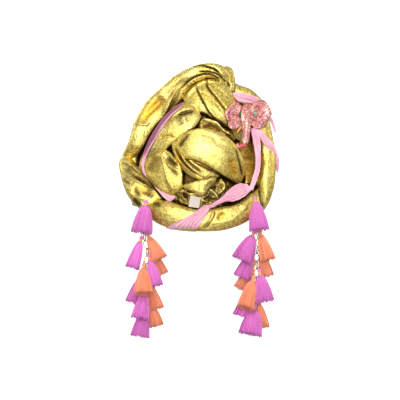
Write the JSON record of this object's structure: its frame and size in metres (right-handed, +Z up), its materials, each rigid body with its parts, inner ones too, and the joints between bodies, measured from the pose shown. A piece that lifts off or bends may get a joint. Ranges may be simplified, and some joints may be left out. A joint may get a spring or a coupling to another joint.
{
  "type": "turban",
  "caption": "Ready-made turban of wound gold lame rolls and a pleated knot, with pink ribbons, an elephant brooch and tassel chains at both sides.",
  "frame": {"origin": "middle of the head opening, in the plane of the crown's rim", "axes": "+Z up through the crown, -Y towards the front, where the wearer looks, +X to the right of someone who faces the turban"},
  "size_m": [0.2596, 0.2592, 0.4407],
  "materials": {
    "gold_lame": "metallic lame, fine glitter grain",
    "pink_jersey": "matt knitted jersey",
    "orchid_thread": "matt cotton thread",
    "peach_thread": "matt cotton thread",
    "gold_metal": "polished gold plate",
    "pave_enamel": "pink and coral stones in gold",
    "teal_stone": "cut and polished",
    "label_cloth": "matt woven tape, bare"
  },
  "bodies": {
    "root": {"crown_shell": "gold_lame", "roll_over": "gold_lame", "knob": "gold_lame", "roll_right": "gold_lame", "roll_lower": "gold_lame", "roll_left": "gold_lame", "band_back": "gold_lame", "front_knot": "gold_lame", "crumple": "gold_lame", "drape_left": "gold_lame", "drape_lobe": "gold_lame", "drape_center": "gold_lame", "drape_fold": "gold_lame", "drape_lower": "gold_lame", "drape_right": "gold_lame", "gathers": "gold_lame", "ribbon_left": "pink_jersey", "ribbon_peek": "pink_jersey", "ribbon_wrap": "pink_jersey", "ribbon_fan": "pink_jersey", "ribbon_drop": "pink_jersey", "ribbon_loop": "pink_jersey", "tail_upper": "pink_jersey", "tail_lower": "pink_jersey", "label": "label_cloth", "brooch_body": "pave_enamel", "brooch_eye_left": "teal_stone", "brooch_eye_right": "teal_stone", "brooch_tusk": "gold_metal", "brooch_pin": "gold_metal", "chain_left": "gold_metal", "chain_right": "gold_metal", "tassel_left_01": "orchid_thread", "tassel_left_02": "orchid_thread", "tassel_left_03": "peach_thread", "tassel_left_04": "peach_thread", "tassel_left_05": "orchid_thread", "tassel_left_06": "peach_thread", "tassel_left_07": "orchid_thread", "tassel_left_08": "peach_thread", "tassel_left_09": "orchid_thread", "tassel_left_10": "peach_thread", "tassel_left_11": "orchid_thread", "tassel_right_01": "orchid_thread", "tassel_right_02": "orchid_thread", "tassel_right_03": "peach_thread", "tassel_right_04": "orchid_thread", "tassel_right_05": "peach_thread", "tassel_right_06": "orchid_thread", "tassel_right_07": "peach_thread", "tassel_right_08": "peach_thread", "tassel_right_09": "orchid_thread", "tassel_right_10": "orchid_thread", "tassel_right_11": "peach_thread"}
  },
  "joints": []
}
